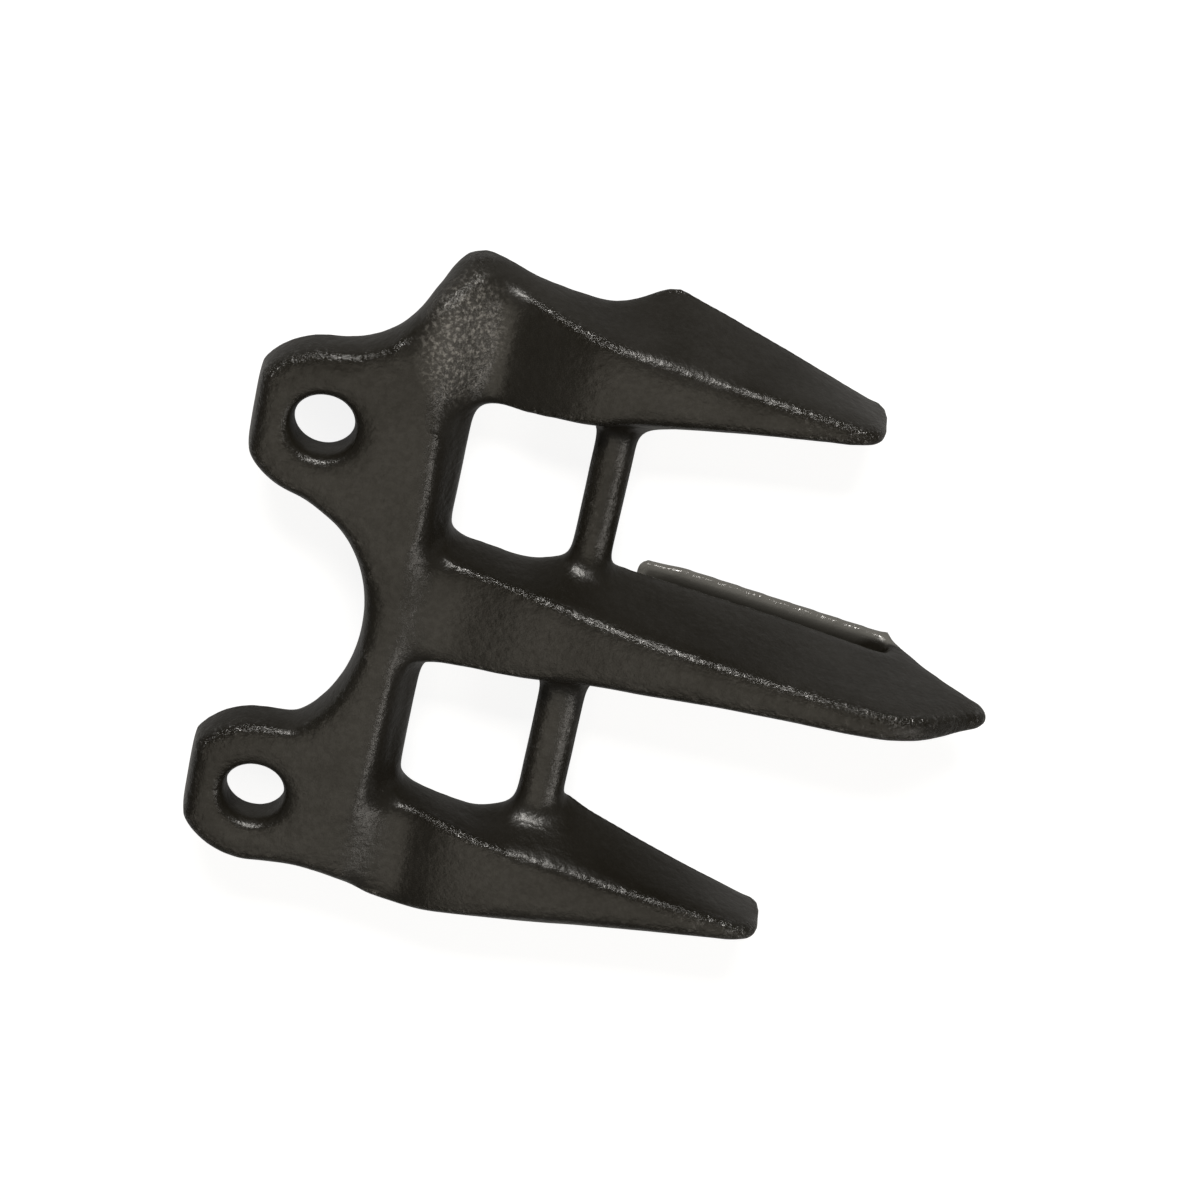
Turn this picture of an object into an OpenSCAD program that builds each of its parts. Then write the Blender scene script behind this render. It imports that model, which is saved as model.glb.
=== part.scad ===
// Mower knife guard: a one-piece forging with a bolting plate, two windows, two crossbars and three prongs.
// X runs forward to the prong tips, Y along the cutter bar, Z from the mounting face to the keel side.
// The origin lies on the mounting face, midway between the two bolt holes.

/* [Bolting plate] */
// Distance between the two bolt holes
bolt_spacing = 74.4; // [72:0.2:78]
// Diameter of each bolt hole
bolt_hole_d = 11.2; // [9:0.1:12.5]
// Rounding of the bolt hole rims on the keel side
hole_rim_r = 1.9; // [0.5:0.1:2.5]
// Thickness of the plate at the lugs
plate_t = 8.8; // [7:0.1:11]
// Radius of the round lugs about the bolt holes
lug_r = 14.8; // [13.5:0.1:16]
// From the bolt holes back to the straight rear edge
rear_edge = 12.4; // [11:0.1:13]
// Rounding of the plate's keel-side edges
plate_edge_r = 2.2; // [1:0.1:3]
// How much the plate's walls spread toward the mounting face
plate_draft = 0.5; // [0:0.1:1]
// How far the rear scallop reaches forward of the bolt holes
scallop_reach = 13.6; // [10:0.1:15]
// Half width of the rear scallop
scallop_half = 22.8; // [20:0.1:24]
// Sideways place of the rear scallop
scallop_y = -1.5; // [-3:0.1:0]

/* [Prongs] */
// Distance between neighbouring prongs
prong_pitch = 50.8; // [49:0.1:52]
// Sideways offset of the middle prong from the middle of the bolt holes
prong_offset = 5.6; // [3:0.1:7]
// Reach of the outer prongs, from the bolt holes to the tip
outer_reach = 96.6; // [92:0.5:105]
// Reach of the middle prong, from the bolt holes to the tip
middle_reach = 127; // [122:0.5:135]
// Half width of the prong necks beside the windows
neck_half = 10.2; // [9:0.1:11]
// Half width of the outer prongs at their shoulders
shoulder_half = 15.1; // [13:0.1:16]
// Half width of the middle prong where its ledger starts
middle_ledger_half = 11.2; // [10:0.1:12]
// Height of the keel face on the outer prongs
outer_keel_h = 9.3; // [8:0.1:11]
// Height of the keel face at the middle prong's chin
chin_h = 16.2; // [14:0.1:18]
// Rounding of the keel edges
keel_edge_r = 1.4; // [0.8:0.1:2.4]
// Sideways shift of the keel faces toward the rear lug on the -Y side
die_shift = 0.4; // [0:0.1:0.8]

/* [Windows and crossbars] */
// From the bolt holes to the rear edge of the windows
window_rear = 25.4; // [24.5:0.1:26.5]
// From the bolt holes to the front edge of the windows
window_front = 46.7; // [45:0.1:49]
// Width of the crossbar on the +Y side, front to rear
plus_bar_w = 8.2; // [6:0.1:10]
// Width of the crossbar on the -Y side, front to rear
minus_bar_w = 9.4; // [6:0.1:10]
// Height of the crossbars' crown above the mounting face
crossbar_crown = 0.8; // [0:0.1:2]

/* [Ledger, slot and lip] */
// Depth of the ledger faces beyond the mounting face
ledger_depth = 5.8; // [5:0.1:7]
// Height of the knife slot under the lip
slot_h = 4.4; // [3:0.1:5.5]
// Thickness of the lip
lip_t = 2.4; // [2:0.1:4]
// From the bolt holes to the rear end of the lip
lip_rear = 59.8; // [58:0.2:66]
// From the bolt holes to the closed front end of the knife slot
slot_end = 106.6; // [104:0.2:110]

/* [Hidden] */

// Colour of the paint
paint = "#2b2a25";

function mix(a, b, t) = a + (b - a) * t;
function clamp(t) = min(1, max(0, t));
function ease(t) = clamp(t) * clamp(t) * (3 - 2 * clamp(t));

// Slope of a table of [x, value] rows at row i
function slope(table, i) =
    let (a = max(0, i - 1), b = min(len(table) - 1, i + 1))
    (table[b][1] - table[a][1]) / (table[b][0] - table[a][0]);

// Smooth curve through a table of [x, value] rows
function curve(table, x, i = 0) =
    x <= table[0][0] ? table[0][1] :
    i >= len(table) - 1 ? table[len(table) - 1][1] :
    x > table[i + 1][0] ? curve(table, x, i + 1) :
    let (
        h = table[i + 1][0] - table[i][0],
        t = (x - table[i][0]) / h,
        m0 = slope(table, i) * h,
        m1 = slope(table, i + 1) * h
    )
    (2 * pow(t, 3) - 3 * t * t + 1) * table[i][1] + (pow(t, 3) - 2 * t * t + t) * m0
    + (3 * t * t - 2 * pow(t, 3)) * table[i + 1][1] + (pow(t, 3) - t * t) * m1;

function arc(c, r, from, to, n) =
    [for (i = [0:n]) c + r * [cos(mix(from, to, i / n)), sin(mix(from, to, i / n))]];

// Closed skin over rings of equal size; each ring is a convex loop, and the ends are closed flat
module skin(rings) {
    n = len(rings[0]);
    last = (len(rings) - 1) * n;
    sides = [for (j = [0:len(rings) - 2], i = [0:n - 1], half = [0, 1])
        let (a = j * n + i, b = j * n + (i + 1) % n)
        half == 0 ? [a, b, a + n] : [b, b + n, a + n]];
    ends = [for (i = [1:n - 2], end = [0, 1]) end == 0 ? [0, i + 1, i] : [last, last + i, last + i + 1]];
    polyhedron([for (ring = rings) each ring], concat(sides, ends), convexity = 6);
}

// Closed skin over rings made of a rear chain and a front chain of the same count, joined across by a strip
module strip_skin(rings) {
    n = len(rings[0]);
    half_n = n / 2;
    last = (len(rings) - 1) * n;
    sides = [for (j = [0:len(rings) - 2], i = [0:n - 1], half = [0, 1])
        let (a = j * n + i, b = j * n + (i + 1) % n)
        half == 0 ? [a, a + n, b] : [b, a + n, b + n]];
    ends = [for (i = [0:half_n - 2], half = [0, 1], end = [0, last])
        let (a = i, b = i + 1, c = n - 2 - i, d = n - 1 - i)
        let (tri = half == 0 ? [a, b, d] : [b, c, d])
        end == 0 ? tri : [tri[0] + end, tri[2] + end, tri[1] + end]];
    polyhedron([for (ring = rings) each ring], concat(sides, ends), convexity = 8);
}

// Plan outline of the plate: the rear chain, from the far prong's root round both lugs to the near one's
bolt_y = bolt_spacing / 2;
sweep_r = 15.8;
sweep_x = -1.2;
sweep_y = prong_offset + prong_pitch + 11.4;
scallop_x = -2;
tail_y = prong_offset - prong_pitch - 7.8;
waist_y = -bolt_y - lug_r + 0.9;

function lug_rear(d, side) =
    let (r = lug_r - d, flat = acos(-(rear_edge - d) / r))
    arc([0, side * bolt_y], r, side > 0 ? 88 : 95, flat, 5);

function lug_front(d, side) =
    let (r = lug_r - d, flat = acos(-(rear_edge - d) / r))
    arc([0, side * bolt_y], r, 360 - flat, side > 0 ? 265 : 285, 5);

// Angle at which the scallop runs into a lug
function scallop_end(side) = asin(min(0.96, (bolt_y - lug_r - side * scallop_y - 0.2) / scallop_half));

function scallop(d) =
    let (steps = 11)
    [for (i = [0:steps])
        let (a = mix(scallop_end(1), -scallop_end(-1), i / steps))
        [scallop_x + (scallop_reach - scallop_x + d) * cos(a), scallop_y + (scallop_half + d) * sin(a)]];

function rear_chain(d) = concat(
    arc([sweep_x, sweep_y], sweep_r + d, -8, -82, 7),
    lug_rear(d, 1),
    lug_front(d, 1),
    scallop(d),
    lug_rear(d, -1),
    lug_front(d, -1),
    [[8, waist_y + d], [12, waist_y + d - 0.1], [16, mix(waist_y, tail_y, 0.5) + d], [tail_x, tail_y + d]]
);
tail_x = 20;
tail_count = 10;

// Front edge of the plate at height z: it leans back to the keel side, and more so at the outer prongs
lean_mid = 0.4;
lean_end = 0.55;
front_foot = 0.7;
function front_x(y, z) =
    window_rear - front_foot - mix(lean_mid, lean_end, ease((abs(y - prong_offset) - 14) / 36)) * z;

function plate_ring(d, z) =
    let (
        rear = rear_chain(d),
        n = len(rear),
        turn = n - tail_count,
        front_y = [for (i = [0:n - 1])
            i < turn ? rear[i][1] : mix(rear[turn - 1][1], tail_y + d, (i - turn + 1) / tail_count)])
    concat(
        [for (p = rear) [p[0], p[1], z]],
        [for (i = [n - 1:-1:0]) [front_x(front_y[i], z) - d, front_y[i], z]]);

module plate() {
    round_steps = 3;
    foot = 0.8;
    strip_skin(concat(
        [
            plate_ring(foot - plate_draft, 0),
            plate_ring(-plate_draft, foot),
            plate_ring(0, plate_t - plate_edge_r)
        ],
        [for (i = [1:round_steps])
            let (a = 90 * i / round_steps)
            plate_ring(plate_edge_r * (1 - cos(a)), plate_t - plate_edge_r * (1 - sin(a)))]
    ));
}

// Far face of the prong necks, and of the webs and crossbars that stop a little short of it
far_z = -5;
tie_z = far_z + 0.9;

// Web under the plate's front edge between two neighbouring prongs, flared where it meets their roots
module web(from, to) {
    flare = 2.4;
    flare_run = 6;
    edge = 0.8;
    rise = 1.4;
    chamfer = 3;
    lean = 0.3;
    reach = 6;
    neck = 8;
    function ring(y) =
        let (
            f = flare * (1 - ease((min(y - from, to - y) - neck) / flare_run)),
            rear = root_x + edge - lean * f,
            front = window_rear + f,
            low = tie_z - lean * f / 2,
            top = rise + chamfer)
        [for (p = [[rear, low + edge], [rear, top], [front - chamfer, top], [front, rise],
            [front - lean, low + edge], [front - lean - edge, low], [rear + edge, low]]) [p[0], y, p[1]]];
    inner = neck + flare_run;
    skin([for (y = concat(stations(to - reach, to - inner, 4), stations(from + inner, from + reach, 4)))
        ring(y)]);
}

// Section of a prong, looking along it: keel face, rounded keel edges, flanks and ledger
function bend(a, corner, b, n) =
    [for (i = [0:n]) let (t = i / n) (1 - t) * (1 - t) * a + 2 * t * (1 - t) * corner + t * t * b];

function half_section(keel, keel_z, wide, wide_z, low_z) =
    let (
        r = min(keel_edge_r, keel * 0.8),
        flank = [wide - keel, wide_z - keel_z],
        run = flank / norm(flank),
        edge = 0.4)
    concat(
        [[0, keel_z + 0.15]],
        bend([keel - r, keel_z + 0.05], [keel, keel_z], [keel, keel_z] + run * r, 2),
        [[wide, wide_z], [wide - 0.2, low_z + edge], [wide - 0.2 - edge, low_z]]);

// Ring of a prong at x: plus and minus hold [keel half width, widest half width] of the two sides
function section(x, y, keel_z, plus, minus, wide_z, low_z) =
    let (
        right = half_section(plus[0], keel_z, plus[1], wide_z, low_z),
        left = half_section(minus[0] + die_shift, keel_z, minus[1], wide_z, low_z),
        n = len(right))
    concat(
        [for (p = right) [x, y + p[0], p[1]]],
        [for (i = [n - 1:-1:1]) [x, y - left[i][0], left[i][1]]]);

// Named stations along the prongs
root_x = 15.2;
neck_x = 40.5;
shoulder_x = window_front + 8.3;
outer_nose = outer_reach - 4;
outer_mid = 70;

// Outer prongs, rows of [x, half width or height]; only the root on the +Y side swells
function outer_keel_out(side) = concat(
    side > 0 ? [[root_x, 7], [root_x + 1.4, 9.6], [root_x + 4.2, 11.8], [22.5, 12.4], [27, 11.4]]
        : [[root_x, 5.8], [19, 7.3], [22.6, 9], [27, 10.4]],
    [[34, 9.9], [neck_x, 8.6]],
    outer_keel_front);
function outer_keel_in(side) = concat(
    [[root_x, 7], [19, 9.5], [27, 10.6]],
    side > 0 ? [[34, 10.5], [neck_x, 9.4], [47, 8]] : [[34, 9.9], [neck_x, 8.6], [47, 7.2]],
    outer_keel_front);
outer_keel_front = [[52, 6.3], [64, 4.7], [76, 3.5], [outer_nose, 2]];

function outer_keel_z(side) = concat(
    side > 0 ? [[root_x, plate_t - 0.6], [19.5, 6.6], [24, 4], [28, 3.1], [34, 5.4], [neck_x, 7.9]]
        : [[root_x, plate_t - 0.4], [22, 6.8], [28, 5.6], [34, 7.5], [neck_x, 8.7]],
    [[47, outer_keel_h - 0.1], [outer_mid, outer_keel_h], [outer_nose, outer_keel_h + 0.6]]);

near_shoulder = shoulder_half - 1.4;
function outer_out(side) = concat(
    side > 0 ? [[root_x, 8.6], [root_x + 1.4, 12], [root_x + 4.2, 14.7], [22.5, 15.3], [27, 14.1]]
        : [[root_x, 6.2], [22, 9.4], [27, 11.2]],
    [[32, neck_half + 2.2], [44, neck_half + 0.6], [48.5, 11.9]],
    side > 0 ? [[shoulder_x, shoulder_half], [shoulder_x + 5, shoulder_half - 1.4]]
        : [[shoulder_x, near_shoulder], [shoulder_x + 5, near_shoulder - 0.9]],
    [[75, 8.6], [outer_nose, 2]]);

inner_shoulder = [12.6, 14.6];
function outer_in(side) =
    let (shoulder = side > 0 ? inner_shoulder[0] : inner_shoulder[1])
    [[root_x, 8], [20, 14], [window_rear, 13.4], [window_rear + 2, 11.9], [30, 11.1], [36, neck_half - 0.4],
        [neck_x, neck_half - 0.9], [window_front, 11.5], [shoulder_x + 1.2, shoulder],
        [shoulder_x + 5, mix(shoulder, 10.6, 0.5)], [67.3, 9.7], [75.6, 6.7], [outer_nose, 1]];

outer_wide_z = [[root_x, 0.8], [root_x + 6, 0.4], [window_rear + 2, -1.5], [window_front - 3, -1.5],
    [shoulder_x, -ledger_depth + 1.2]];
outer_low_z = [[root_x, far_z + 0.4], [window_front - 2, far_z + 0.4], [shoulder_x - 3, -ledger_depth]];

// Middle prong and its nose, rows of [x, half width or height]
middle_nose = middle_reach - 3.5;
middle_keel = [[root_x, 10.4], [28, 9.9], [34, 9.4], [neck_x, 8.8], [52, 6.6], [64, 5.3], [88, 3.6],
    [slot_end, 2.9], [middle_nose, 2.1]];
middle_keel_z = [[root_x, plate_t - 0.4], [24, 6.8], [28, 6.6], [neck_x, 8.8], [52, 10.2], [64, 12],
    [88, 14.5], [slot_end - 1, chin_h], [slot_end + 8, chin_h - 1.9], [middle_nose, 7.2]];
middle_wide = [[root_x, 10.5], [20, 14.5], [window_rear, 13.3], [window_rear + 2, 12.1], [31, 11.5],
    [neck_x, neck_half + 0.1], [window_front, 12], [shoulder_x + 4, middle_ledger_half], [75, 9.2], [90, 7.4],
    [slot_end, 4.9], [slot_end + 8, 3.6], [middle_nose, 2.4]];
middle_wide_z = [[root_x, 0.8], [root_x + 6, 0.4], [window_rear + 2, -1.5], [window_front - 3, -1.5],
    [shoulder_x, -ledger_depth + 1.2], [slot_end, -ledger_depth + 1.2], [slot_end + 8, -2],
    [middle_nose, 2.4]];
lip_low_z = -ledger_depth - slot_h - lip_t;
middle_low_z = [[root_x, far_z + 0.4], [window_front - 2, far_z + 0.4], [shoulder_x - 3, -ledger_depth]];
nose_low_z = [[slot_end, lip_low_z - 0.3], [slot_end + 2.5, lip_low_z + 0.5], [slot_end + 8, lip_low_z + 6.3],
    [middle_nose, 0.6]];

// Stations between two places
function stations(from, to, n) = [for (i = [0:n]) mix(from, to, i / n)];
root_stations = concat([root_x, root_x + 0.8, root_x + 2, root_x + 3.6], stations(root_x + 6.2, 34, 6));

module outer_prong(side) {
    y = prong_offset + side * prong_pitch;
    middle_z = 2;
    function ring(x, s) =
        let (
            out = [curve(outer_keel_out(side), x), curve(outer_out(side), x)] * s[0],
            in = [curve(outer_keel_in(side), x), curve(outer_in(side), x)] * s[0])
        section(x, y, mix(middle_z, curve(outer_keel_z(side), x), s[1]),
            side > 0 ? out : in, side > 0 ? in : out,
            mix(middle_z, curve(outer_wide_z, x), s[1]), mix(middle_z, curve(outer_low_z, x), s[1]));
    nose_steps = 3;
    skin(concat(
        [for (x = concat(root_stations, stations(36.5, 61, 11), stations(65, outer_nose, 6)))
            ring(x, [1, 1])],
        [for (i = [1:nose_steps])
            let (a = 86 * i / nose_steps)
            ring(mix(outer_nose, outer_reach, sin(a)), [pow(cos(a), 0.8), pow(cos(a), 0.55)])]
    ));
}

// Middle prong: the ledger runs to the knife slot's end, where the nose closes down to the lip
module middle_prong() {
    middle_z = 3.8;
    function ring(x, low, s) =
        let (half = [curve(middle_keel, x), curve(middle_wide, x)] * s)
        section(x, prong_offset, mix(middle_z, curve(middle_keel_z, x), s), half, half,
            mix(middle_z, curve(middle_wide_z, x), s), mix(middle_z, curve(low, x), s));
    nose_steps = 3;
    step = 0.9;
    skin(concat(
        [for (x = concat(root_stations, stations(36.5, 61, 11), stations(66, slot_end, 7)))
            ring(x, middle_low_z, 1)],
        [for (x = stations(slot_end + step, middle_nose, 7)) ring(x, nose_low_z, 1)],
        [for (i = [1:nose_steps])
            let (a = 86 * i / nose_steps)
            ring(mix(middle_nose, middle_reach, sin(a)), nose_low_z, cos(a))]
    ));
}

// Lip over the ledger, held at the nose and free at its rear end
module lip() {
    corner_r = 2.4;
    rear_half = middle_ledger_half - 0.9;
    front_half = 5.4;
    seat = 1.3;
    function edge(side) = [for (p = concat(
        arc([lip_rear + corner_r, rear_half - corner_r], corner_r, 180, 90, 3),
        [[lip_rear + 8, rear_half], [slot_end + seat, front_half]])) [p[0], side * p[1]]];
    left = edge(-1);
    translate([0, prong_offset, lip_low_z])
        linear_extrude(height = lip_t)
            polygon(concat(edge(1), [for (i = [len(left) - 1:-1:0]) left[i]]));
}

// Crossbar between two neighbouring prongs, flared where it meets them
module crossbar(from, to, width) {
    flare = 3.2;
    low = tie_z;
    function ring(y) =
        let (
            near = min(y - from - 8, to - 8 - y) / 5,
            f = flare * (1 - ease(near)),
            rear = window_front - f,
            front = window_front + width + f * 0.8,
            top = crossbar_crown + f * 0.9)
        [for (p = concat(
            bend([rear, top - 2.4], [rear + 0.2, top - 0.4], [rear + 2.2, top], 2),
            bend([mix(rear, front, 0.5), top], [front - 0.5, top - 0.6], [front, mix(low, top, 0.35)], 2),
            [[front, low + 1], [front - 1, low], [rear + 1, low], [rear, low + 1]])) [p[0], y, p[1]]];
    reach = 6;
    skin([for (y = concat(stations(to - reach, to - 13, 4), stations(from + 13, from + reach, 4))) ring(y)]);
}

// Round bolt hole with a rounded rim on the keel side
module bolt_hole(side) {
    r = bolt_hole_d / 2;
    translate([0, side * bolt_y, 0]) {
        translate([0, 0, -1])
            cylinder(r = r, h = plate_t + 2, $fn = 64);
        rotate_extrude($fn = 64)
            difference() {
                translate([0, plate_t - hole_rim_r])
                    square([r + hole_rim_r, hole_rim_r + 1]);
                translate([r + hole_rim_r, plate_t - hole_rim_r])
                    circle(r = hole_rim_r, $fn = 48);
            }
    }
}

module knife_guard() {
    color(paint)
        difference() {
            union() {
                plate();
                web(prong_offset, prong_offset + prong_pitch);
                web(prong_offset - prong_pitch, prong_offset);
                for (side = [1, -1])
                    outer_prong(side);
                middle_prong();
                lip();
                crossbar(prong_offset, prong_offset + prong_pitch, plus_bar_w);
                crossbar(prong_offset - prong_pitch, prong_offset, minus_bar_w);
            }
            for (side = [1, -1])
                bolt_hole(side);
        }
}

knife_guard();
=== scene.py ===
"""A forged mower knife guard in black paint with wear and painted highlights, keel side up on a pale floor.
"""

import math

import bpy
import numpy as np
from mathutils import Matrix, Vector, noise


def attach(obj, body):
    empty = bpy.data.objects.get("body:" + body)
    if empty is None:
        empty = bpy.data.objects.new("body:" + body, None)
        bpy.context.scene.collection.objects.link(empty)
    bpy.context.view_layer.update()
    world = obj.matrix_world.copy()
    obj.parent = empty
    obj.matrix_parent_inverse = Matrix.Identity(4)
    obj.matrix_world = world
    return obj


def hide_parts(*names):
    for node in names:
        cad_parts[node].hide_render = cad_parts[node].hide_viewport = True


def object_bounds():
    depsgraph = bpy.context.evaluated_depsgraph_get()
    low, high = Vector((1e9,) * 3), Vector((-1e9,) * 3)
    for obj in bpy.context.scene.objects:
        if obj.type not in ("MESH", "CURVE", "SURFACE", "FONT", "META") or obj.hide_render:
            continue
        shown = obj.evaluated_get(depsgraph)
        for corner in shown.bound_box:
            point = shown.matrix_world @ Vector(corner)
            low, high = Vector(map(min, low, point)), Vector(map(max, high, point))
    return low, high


MM = 0.001

# Camera: where it stands, what it looks at and how far it is rolled, in the part's own frame
CAMERA_AT = Vector((19.2, 315.6, 623.2)) * MM
CAMERA_AIM = Vector((54.07, 11.42, 0.0)) * MM
CAMERA_ROLL = math.radians(12.95)
CAMERA_LENS = 116.57
CAMERA_NEAR = 10.0 * MM
SENSOR = 36.0

# Lights: name, place from the point they aim at, width, height, watts and colour
LIGHTS_AIM = Vector((55.0, 5.0, 0.0)) * MM
LIGHTS = (
    ("key", Vector((-80.0, 760.0, 700.0)) * MM, 400.0 * MM, 200.0 * MM, 8.5, (1.0, 0.97, 0.92)),
    ("top", Vector((60.0, -500.0, 1030.0)) * MM, 900.0 * MM, 900.0 * MM, 2.4, (1.0, 0.92, 0.78)),
    ("side", Vector((720.0, -480.0, 680.0)) * MM, 260.0 * MM, 300.0 * MM, 1.6, (1.0, 0.95, 0.88)),
)

# Floor and world: the floor's grey under the lights, its glow to the eye and in reflections, the world's fill
FLOOR_DROP = 0.1 * MM
FLOOR_HALF = 3.0
FLOOR_GREY = (0.36, 0.36, 0.36, 1)
FLOOR_GLOW = 0.86
FLOOR_SHEEN = 0.08
WORLD_FILL = 0.10

# Forged skin: mesh size, smoothing and waviness (length and height of each wave)
VOXEL = 0.58 * MM
SMOOTH_ROUNDS = 10
FLAT_ROUNDS = 40
SMOOTH_SHARE = 0.5
FLAT_BEND = (0.03, 0.09)
CURVE_ROUNDS = 3
WAVES = ((12.0 * MM, 0.10 * MM), (4.0 * MM, 0.025 * MM))

# Places where the forging's surfaces run into each other softly: centre, half sizes and rounds of smoothing
SOFT_SPOTS = (
    (Vector((20.0, 54.0, 7.5)) * MM, Vector((10.0, 14.0, 7.0)) * MM, 140),
    (Vector((18.0, 62.0, 7.0)) * MM, Vector((9.0, 9.0, 9.0)) * MM, 20),
    (Vector((15.5, 66.5, 2.0)) * MM, Vector((7.0, 7.0, 8.0)) * MM, 45),
    (Vector((21.0, 5.6, 7.5)) * MM, Vector((9.0, 14.0, 5.0)) * MM, 70),
    (Vector((21.0, -46.0, 7.5)) * MM, Vector((9.0, 10.0, 5.5)) * MM, 60),
    (Vector((127.0, 5.6, 4.0)) * MM, Vector((5.0, 5.0, 5.0)) * MM, 15),
    (Vector((95.0, 56.4, 6.0)) * MM, Vector((6.0, 6.0, 7.0)) * MM, 25),
    (Vector((95.0, -45.2, 6.0)) * MM, Vector((6.0, 6.0, 7.0)) * MM, 25),
)

# Bends at which the paint starts to change and has changed, from the mesh's "bend" attribute
RIDGE_BEND = (0.012, 0.04)
EDGE_BEND = (0.03, 0.09)
LIP_BEND = (0.0, 0.03)
HOLLOW_BEND = (0.008, 0.05)
CORNER_BEND = (0.03, 0.075)

# Root of the upper outer prong, with a coarser skin and a painted highlight: centre and half sizes
ROOT_AT = Vector((21.0, 58.0, 7.0)) * MM
ROOT_REACH = Vector((9.0, 15.0, 12.0)) * MM
ROOT_CORE = 0.3

# Lip under the middle prong, its outer edge painted lighter as a highlight: its ends along X with their
# fades, and its top
LIP_REAR = 56.0 * MM
LIP_REAR_FADE = 2.0 * MM
LIP_FRONT = 127.0 * MM
LIP_FRONT_FADE = 12.0 * MM
LIP_TOP = -9.3 * MM
LIP_TOP_FADE = 0.4 * MM

# Colours of the paint, of the wear and highlight on its edges, and of the highlights painted on the root,
# corners and lip
BLACK = (0.0095, 0.0082, 0.0058, 1)
WARM_BLACK = (0.0150, 0.0130, 0.0092, 1)
RUBBED_AND_HIGHLIT_GREY = (0.11, 0.104, 0.09, 1)
SPECK_HIGHLIGHT_GREY = (0.17, 0.16, 0.145, 1)
ROOT_HIGHLIGHT_GREY = (0.13, 0.125, 0.115, 1)
GLINT_GREY = (0.50, 0.48, 0.44, 1)
LIP_HIGHLIGHT_GREY = (0.20, 0.195, 0.18, 1)

# Fineness of the paint's patterns, in noise cells to the metre
PATCHES = 55.0
PITS = 380.0
GRAIN = 620.0
MOTTLE = 850.0
FLECKS = 1300.0
SCALE = 1900.0

# Heights of the skin's grain and scale on the faces, and what the hollows, ridges and root add
FACE_GRAIN = 0.15 * MM
FACE_SCALE = 0.03 * MM
HOLLOW_SKIN = 0.22 * MM
RIDGE_SKIN = 0.30 * MM
ROOT_SKIN = 0.22 * MM
PIT_DEPTH = 0.02 * MM

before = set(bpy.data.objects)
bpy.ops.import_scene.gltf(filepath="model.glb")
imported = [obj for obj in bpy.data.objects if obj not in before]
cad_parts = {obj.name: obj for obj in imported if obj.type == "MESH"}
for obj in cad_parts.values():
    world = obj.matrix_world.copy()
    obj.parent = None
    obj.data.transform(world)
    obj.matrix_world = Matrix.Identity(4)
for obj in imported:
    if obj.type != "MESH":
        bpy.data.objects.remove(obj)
cad_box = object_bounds()
scene = bpy.context.scene
scene.view_settings.view_transform = "Standard"


def link(obj):
    scene.collection.objects.link(obj)
    return obj


class Web:
    """Who neighbours whom on a mesh, for means over each vertex's neighbours."""

    def __init__(self, mesh):
        edges = np.empty(len(mesh.edges) * 2, np.int32)
        mesh.edges.foreach_get("vertices", edges)
        edges = edges.reshape(-1, 2)
        both = np.concatenate([edges, edges[:, ::-1]])
        both = both[np.argsort(both[:, 0], kind="stable")]
        self.others = both[:, 1]
        self.count = np.bincount(both[:, 0], minlength=len(mesh.vertices)).astype(float)
        self.starts = np.concatenate([[0], np.cumsum(self.count)[:-1]]).astype(int)

    def mean(self, values):
        total = np.add.reduceat(values[self.others], self.starts, axis=0)
        return total / (self.count[:, None] if values.ndim > 1 else self.count)


def read_vertices(mesh, name):
    data = np.empty(len(mesh.vertices) * 3, np.float32)
    mesh.vertices.foreach_get(name, data)
    return data.reshape(-1, 3).astype(float)


def write_vertices(mesh, places):
    mesh.vertices.foreach_set("co", places.ravel().astype(np.float32))
    mesh.update()


def remeshed_copy(node, name):
    """The node's mesh in even voxel faces, as a new object in the world's frame."""
    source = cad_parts[node]
    mesh = source.data.copy()
    obj = link(bpy.data.objects.new(name, mesh))
    mesh.transform(source.matrix_world)
    remesh = obj.modifiers.new("skin", "REMESH")
    remesh.mode = "VOXEL"
    remesh.voxel_size = VOXEL
    remesh.use_smooth_shade = True
    depsgraph = bpy.context.evaluated_depsgraph_get()
    mesh = bpy.data.meshes.new_from_object(obj.evaluated_get(depsgraph))
    obj.modifiers.clear()
    obj.data = mesh
    mesh.name = name
    return obj


def forged_copy(node, name):
    """The node's shape with its edges rounded as a forging's are, and with a faint waviness."""
    obj = remeshed_copy(node, name)
    mesh = obj.data
    web = Web(mesh)

    def curvature(places):
        """Above zero on ridges, below zero in hollows, one unit for a bend over about one voxel."""
        write_vertices(mesh, places)
        normals = read_vertices(mesh, "normal")
        bend = ((places - web.mean(places)) * normals).sum(1) / VOXEL
        for _ in range(CURVE_ROUNDS):
            bend = 0.5 * (bend + web.mean(bend))
        return bend, normals

    def relax(places, rounds, share):
        for _ in range(rounds):
            places = places + share * (web.mean(places) - places)
        return places

    places = relax(read_vertices(mesh, "co"), SMOOTH_ROUNDS, SMOOTH_SHARE)
    bend, normals = curvature(places)
    flat = 1.0 - np.clip((np.abs(bend) - FLAT_BEND[0]) / (FLAT_BEND[1] - FLAT_BEND[0]), 0.0, 1.0)
    places = relax(places, FLAT_ROUNDS, SMOOTH_SHARE * flat[:, None])
    for centre, reach, rounds in SOFT_SPOTS:
        away = np.linalg.norm((places - np.array(centre)) / np.array(reach), axis=1)
        near = np.clip(2.0 * (1.0 - away), 0.0, 1.0)
        places = relax(places, rounds, SMOOTH_SHARE * near[:, None])
    bend, normals = curvature(places)

    lift = np.zeros(len(places))
    for length, height in WAVES:
        lift += height * np.array([noise.noise(Vector(p) / length) for p in places])
    attribute = mesh.attributes.new("bend", "FLOAT", "POINT")
    attribute.data.foreach_set("value", bend.astype(np.float32))
    mesh.polygons.foreach_set("use_smooth", np.ones(len(mesh.polygons), bool))
    write_vertices(mesh, places + normals * lift[:, None])
    return obj


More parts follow.
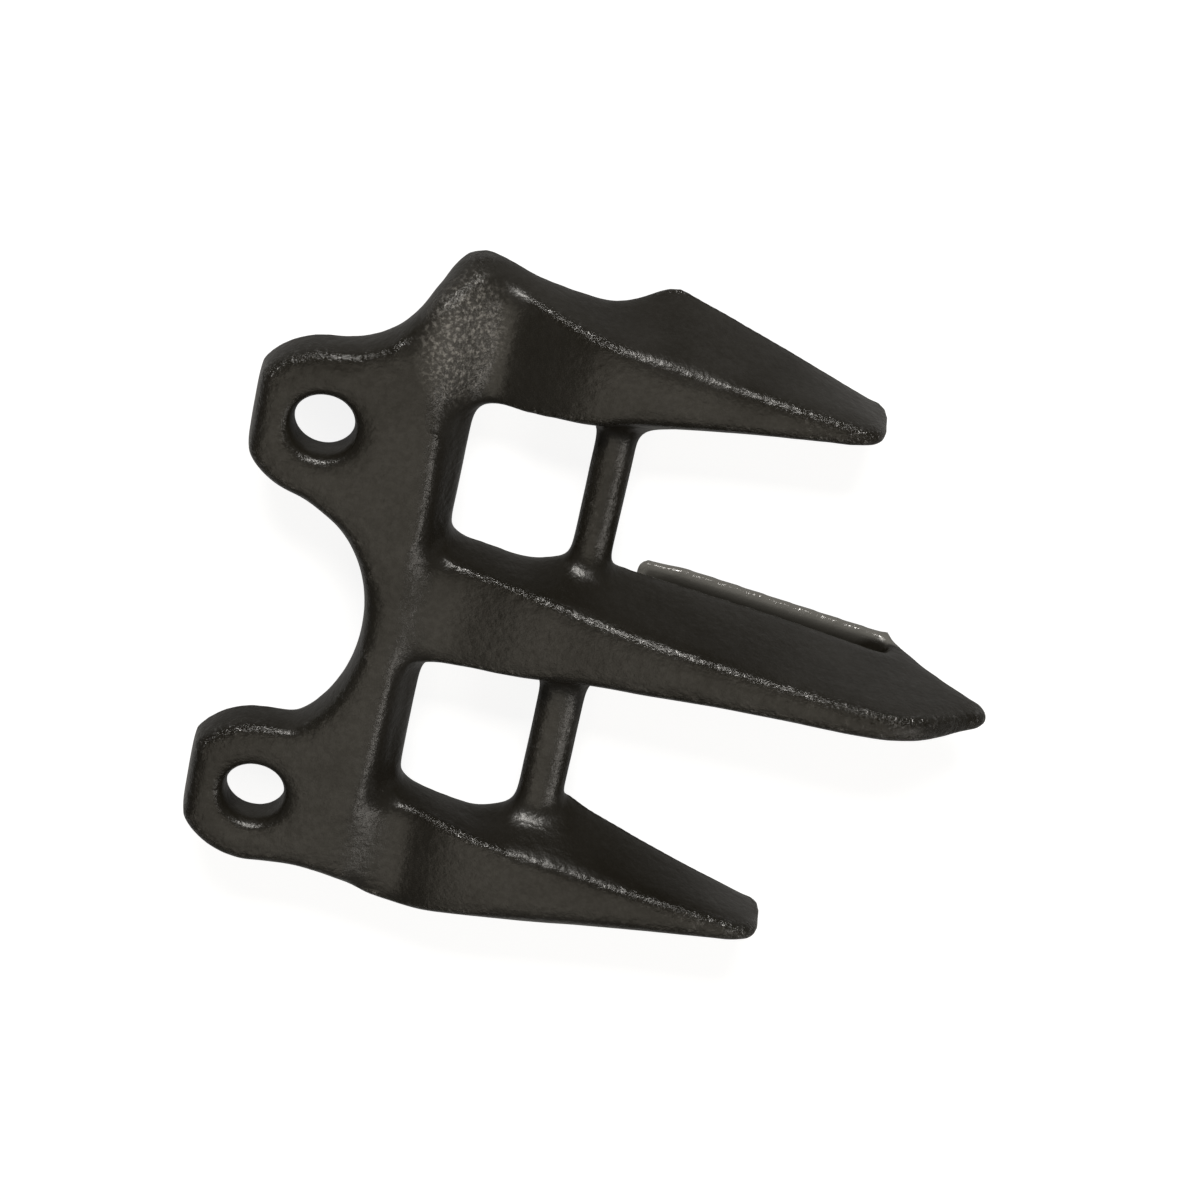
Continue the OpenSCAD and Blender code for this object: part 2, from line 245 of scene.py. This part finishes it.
class Nodes:
    """Short calls for building a node tree."""

    def __init__(self, tree):
        self.tree = tree
        tree.nodes.clear()

    def add(self, kind, **values):
        node = self.tree.nodes.new("ShaderNode" + kind)
        for key, value in values.items():
            setattr(node, key, value)
        return node

    def link(self, a, b):
        self.tree.links.new(a, b)

    def feed(self, node, inputs):
        """Link or set the inputs, which are named or counted."""
        for key, value in inputs.items():
            if isinstance(value, bpy.types.NodeSocket):
                self.link(value, node.inputs[key])
            else:
                node.inputs[key].default_value = value
        return node

    def math(self, operation, a, b):
        return self.feed(self.add("Math", operation=operation), {0: a, 1: b}).outputs[0]

    def times(self, a, b):
        return self.math("MULTIPLY", a, b)

    def plus(self, a, b):
        return self.math("ADD", a, b)

    def vector(self, operation, a, b):
        return self.feed(self.add("VectorMath", operation=operation), {0: a, 1: tuple(b)}).outputs["Vector"]

    def length(self, a):
        return self.feed(self.add("VectorMath", operation="LENGTH"), {0: a}).outputs["Value"]

    def noise(self, coords, scale, detail, roughness=0.55):
        values = {"Vector": coords, "Scale": scale, "Detail": detail, "Roughness": roughness}
        return self.feed(self.add("TexNoise"), values).outputs["Fac"]

    def spread(self, value, low, high, to_low=0.0, to_high=1.0):
        node = self.add("MapRange", interpolation_type="SMOOTHSTEP")
        return self.feed(node, {0: value, 1: low, 2: high, 3: to_low, 4: to_high}).outputs[0]

    def blend(self, factor, a, b):
        return self.feed(self.add("Mix", data_type="RGBA"), {0: factor, 6: a, 7: b}).outputs[2]


def root_mask(t, coords):
    """One on the root of the upper outer prong, which gets a coarser skin and a painted highlight, and zero
    away from it.
    """
    away = t.vector("DIVIDE", t.vector("SUBTRACT", coords, ROOT_AT), ROOT_REACH)
    return t.spread(t.length(away), 1.0, ROOT_CORE)


def lip_mask(t, coords):
    """One on the lip under the middle prong and on the nose's low edge, and zero elsewhere."""
    along = t.feed(t.add("SeparateXYZ"), {0: coords}).outputs
    low = t.spread(along["Z"], LIP_TOP + LIP_TOP_FADE, LIP_TOP - LIP_TOP_FADE)
    rear = t.spread(along["X"], LIP_REAR, LIP_REAR + LIP_REAR_FADE)
    front = t.spread(along["X"], LIP_FRONT, LIP_FRONT - LIP_FRONT_FADE)
    return t.times(t.times(low, rear), front)


def paint_material():
    """Semi-gloss warm black paint over a rough forged skin, lighter on the edges from wear and a painted
    highlight, with painted highlights on the lip's edge, the upper prong's root and the concave corners.
    """
    material = bpy.data.materials.new("guard_paint")
    material.use_nodes = True
    t = Nodes(material.node_tree)
    coords = t.add("TexCoord").outputs["Object"]
    bend = t.add("Attribute", attribute_name="bend").outputs["Fac"]
    inward = t.times(bend, -1.0)

    # Patterns
    patch = t.noise(coords, PATCHES, 3.0)
    grain = t.noise(coords, GRAIN, 4.0)
    scale = t.noise(coords, SCALE, 3.0, 0.6)
    mottle = t.noise(coords, MOTTLE, 4.0, 0.6)
    pits = t.spread(t.noise(coords, PITS, 2.0), 0.60, 0.72)
    flecks = t.noise(coords, FLECKS, 4.0, 0.65)
    specks = t.spread(flecks, 0.44, 0.60)
    glints = t.spread(flecks, 0.53, 0.66)

    # Places
    root = root_mask(t, coords)
    lip = lip_mask(t, coords)
    ridge = t.spread(bend, *RIDGE_BEND)
    edge = t.spread(bend, *EDGE_BEND)
    hollow = t.spread(inward, *HOLLOW_BEND)
    corner = t.spread(inward, *CORNER_BEND)
    rubbed_and_highlit = t.times(edge, specks)
    highlit_specks = t.times(t.math("MAXIMUM", root, corner), specks)
    lip_highlight = t.times(lip, t.spread(bend, *LIP_BEND))

    # Colour
    paint = t.blend(patch, BLACK, WARM_BLACK)
    # Convex edges lighter in specks: partly paint wear, partly a painted highlight along the ridges
    paint = t.blend(t.times(rubbed_and_highlit, 0.5), paint, RUBBED_AND_HIGHLIT_GREY)
    # Light specks on the upper prong's root and in concave corners: painted highlight
    paint = t.blend(t.times(highlit_specks, 0.6), paint, SPECK_HIGHLIGHT_GREY)
    # Upper prong's root lighter, with bright glints: painted highlight
    paint = t.blend(t.times(root, 0.3), paint, ROOT_HIGHLIGHT_GREY)
    paint = t.blend(t.times(t.times(root, glints), 0.3), paint, GLINT_GREY)
    # Lip's outer edge lighter: painted highlight
    paint = t.blend(t.times(lip_highlight, 0.8), paint, LIP_HIGHLIGHT_GREY)

    # Gloss: smoother on the ridges and the root, with sparks along the ridges
    rough = t.spread(patch, 0.3, 0.7, 0.29, 0.35)
    rough = t.math("SUBTRACT", rough, t.times(t.math("MAXIMUM", ridge, root), 0.16))
    gloss = t.times(t.spread(mottle, 0.34, 0.66, 0.45, 0.57), t.spread(patch, 0.36, 0.64, 0.78, 1.1))
    sparks = t.times(ridge, t.math("SUBTRACT", t.times(glints, 3.2), 0.25))
    gloss = t.times(gloss, t.plus(1.0, sparks))

    # Height of the skin: faint grain on the faces, coarser in the hollows, on the ridges and on the root
    skin = t.plus(t.times(hollow, HOLLOW_SKIN), t.times(ridge, RIDGE_SKIN))
    skin = t.plus(skin, t.times(root, ROOT_SKIN))
    skin = t.times(skin, t.math("SUBTRACT", 1.0, t.times(lip, 0.9)))
    height = t.times(grain, t.plus(skin, FACE_GRAIN))
    height = t.plus(height, t.times(scale, t.plus(t.times(skin, 0.9), FACE_SCALE)))
    height = t.math("SUBTRACT", height, t.times(pits, PIT_DEPTH))
    bump = t.feed(t.add("Bump"), {"Strength": 1.0, "Distance": 1.0, "Height": height})

    shader = t.add("BsdfPrincipled")
    t.feed(shader, {"Base Color": paint, "Roughness": rough, "Specular IOR Level": gloss})
    t.link(bump.outputs["Normal"], shader.inputs["Normal"])
    t.link(shader.outputs[0], t.add("OutputMaterial").inputs[0])
    return material


def floor_material():
    """Pale floor that reads as white where it is lit and keeps the part's shadow."""
    material = bpy.data.materials.new("pale_floor")
    material.use_nodes = True
    t = Nodes(material.node_tree)
    path = t.add("LightPath").outputs
    seen = t.times(t.plus(path["Is Camera Ray"], path["Is Transmission Ray"]), FLOOR_GLOW)
    seen = t.plus(seen, t.times(path["Is Glossy Ray"], FLOOR_SHEEN))
    lit = t.feed(t.add("BsdfDiffuse"), {"Color": FLOOR_GREY})
    glow = t.feed(t.add("Emission"), {"Strength": seen})
    both = t.add("AddShader")
    t.link(lit.outputs[0], both.inputs[0])
    t.link(glow.outputs[0], both.inputs[1])
    t.link(both.outputs[0], t.add("OutputMaterial").inputs[0])
    return material


def add_floor():
    z = cad_box[0][2] - FLOOR_DROP
    corners = [(x * FLOOR_HALF, y * FLOOR_HALF, z) for x, y in ((-1, -1), (1, -1), (1, 1), (-1, 1))]
    mesh = bpy.data.meshes.new("floor")
    mesh.from_pydata(corners, [], [(0, 1, 2, 3)])
    mesh.materials.append(floor_material())
    floor = link(bpy.data.objects.new("floor", mesh))


def white_world():
    """White to the eye, and a weak fill to the part."""
    world = bpy.data.worlds.new("studio")
    world.use_nodes = True
    scene.world = world
    t = Nodes(world.node_tree)
    path = t.add("LightPath").outputs
    seen = t.math("MAXIMUM", path["Is Camera Ray"], path["Is Transmission Ray"])
    strength = t.plus(WORLD_FILL, t.times(seen, 1.0 - WORLD_FILL))
    background = t.feed(t.add("Background"), {"Color": (1, 1, 1, 1), "Strength": strength})
    t.link(background.outputs[0], t.add("OutputWorld").inputs[0])


def area_light(name, offset, width, height, watts, colour):
    light = bpy.data.lights.new(name, "AREA")
    light.shape = "RECTANGLE"
    light.size = width
    light.size_y = height
    light.energy = watts
    light.color = colour
    obj = link(bpy.data.objects.new(name, light))
    obj.location = LIGHTS_AIM + offset
    obj.rotation_euler = (-offset).to_track_quat("-Z", "Y").to_euler()


def add_camera():
    data = bpy.data.cameras.new("camera")
    data.sensor_width = SENSOR
    data.sensor_fit = "HORIZONTAL"
    data.lens = CAMERA_LENS
    data.clip_start = CAMERA_NEAR
    back = (CAMERA_AT - CAMERA_AIM).normalized()
    right = Vector((0, 1, 0)).cross(back).normalized()
    up = back.cross(right)
    turn = Matrix((right, up, back)).transposed().to_4x4()
    obj = link(bpy.data.objects.new("camera", data))
    obj.matrix_world = Matrix.Translation(CAMERA_AT) @ turn @ Matrix.Rotation(CAMERA_ROLL, 4, "Z")
    scene.camera = obj


guard = forged_copy("knife_guard", "guard_forging")
guard.data.materials.clear()
guard.data.materials.append(paint_material())
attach(guard, "root")
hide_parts("knife_guard")

add_floor()
white_world()
for settings in LIGHTS:
    area_light(*settings)
add_camera()
